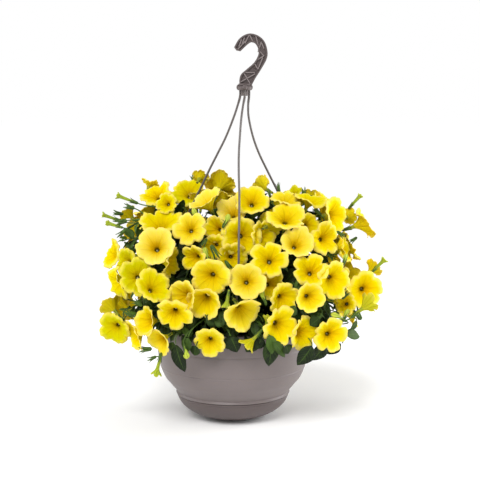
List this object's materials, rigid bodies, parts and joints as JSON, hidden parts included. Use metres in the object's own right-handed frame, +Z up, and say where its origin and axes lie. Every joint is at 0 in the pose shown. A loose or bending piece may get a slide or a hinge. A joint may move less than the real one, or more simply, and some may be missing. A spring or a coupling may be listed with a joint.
{
  "type": "petunia hanging basket",
  "caption": "Round plastic hanging pot on a clip-under drip saucer, filled with flowering yellow petunias, with a wide hook on plastic strands.",
  "frame": {"origin": "centre of the drip saucer's flat base, on the pot's axis", "axes": "+Z up along the pot's axis towards the hook; -Y is the pictured front, +X to its right"},
  "size_m": [0.4911, 0.3943, 0.6794],
  "materials": {
    "pot_plastic": "taupe grey moulded plastic, satin sheen",
    "saucer_plastic": "darker taupe moulded plastic",
    "hook_plastic": "dark taupe moulded plastic with crossed ribs",
    "strand_plastic": "grey taupe flexible plastic",
    "soil": "moist peat and bark crumbs",
    "petal": "soft thin yellow petals with pale edges and dark throats",
    "foliage": "soft hairy dark green leaves and stems"
  },
  "bodies": {
    "root": {"drip_saucer": "saucer_plastic", "pot_bowl": "pot_plastic", "potting_soil": "soil", "hanger_hook": "hook_plastic", "strand_front": "strand_plastic", "strand_right": "strand_plastic", "strand_left": "strand_plastic", "flower_01": "petal", "flower_02": "petal", "flower_03": "petal", "flower_04": "petal", "flower_05": "petal", "flower_06": "petal", "flower_07": "petal", "flower_08": "petal", "flower_09": "petal", "flower_10": "petal", "flower_11": "petal", "flower_12": "petal", "flower_13": "petal", "flower_14": "petal", "flower_15": "petal", "flower_16": "petal", "flower_17": "petal", "flower_18": "petal", "flower_19": "petal", "flower_20": "petal", "flower_21": "petal", "flower_22": "petal", "flower_23": "petal", "flower_24": "petal", "flower_25": "petal", "flower_26": "petal", "flower_27": "petal", "flower_28": "petal", "flower_29": "petal", "flower_30": "petal", "flower_31": "petal", "flower_32": "petal", "flower_33": "petal", "flower_34": "petal", "flower_35": "petal", "flower_36": "petal", "flower_37": "petal", "flower_38": "petal", "flower_39": "petal", "flower_40": "petal", "flower_41": "petal", "shoot_01": "foliage", "shoot_02": "foliage", "shoot_03": "foliage", "shoot_04": "foliage", "shoot_05": "foliage", "shoot_06": "foliage", "shoot_07": "foliage", "shoot_08": "foliage", "shoot_09": "foliage", "shoot_10": "foliage", "shoot_11": "foliage", "shoot_12": "foliage"}
  },
  "joints": []
}
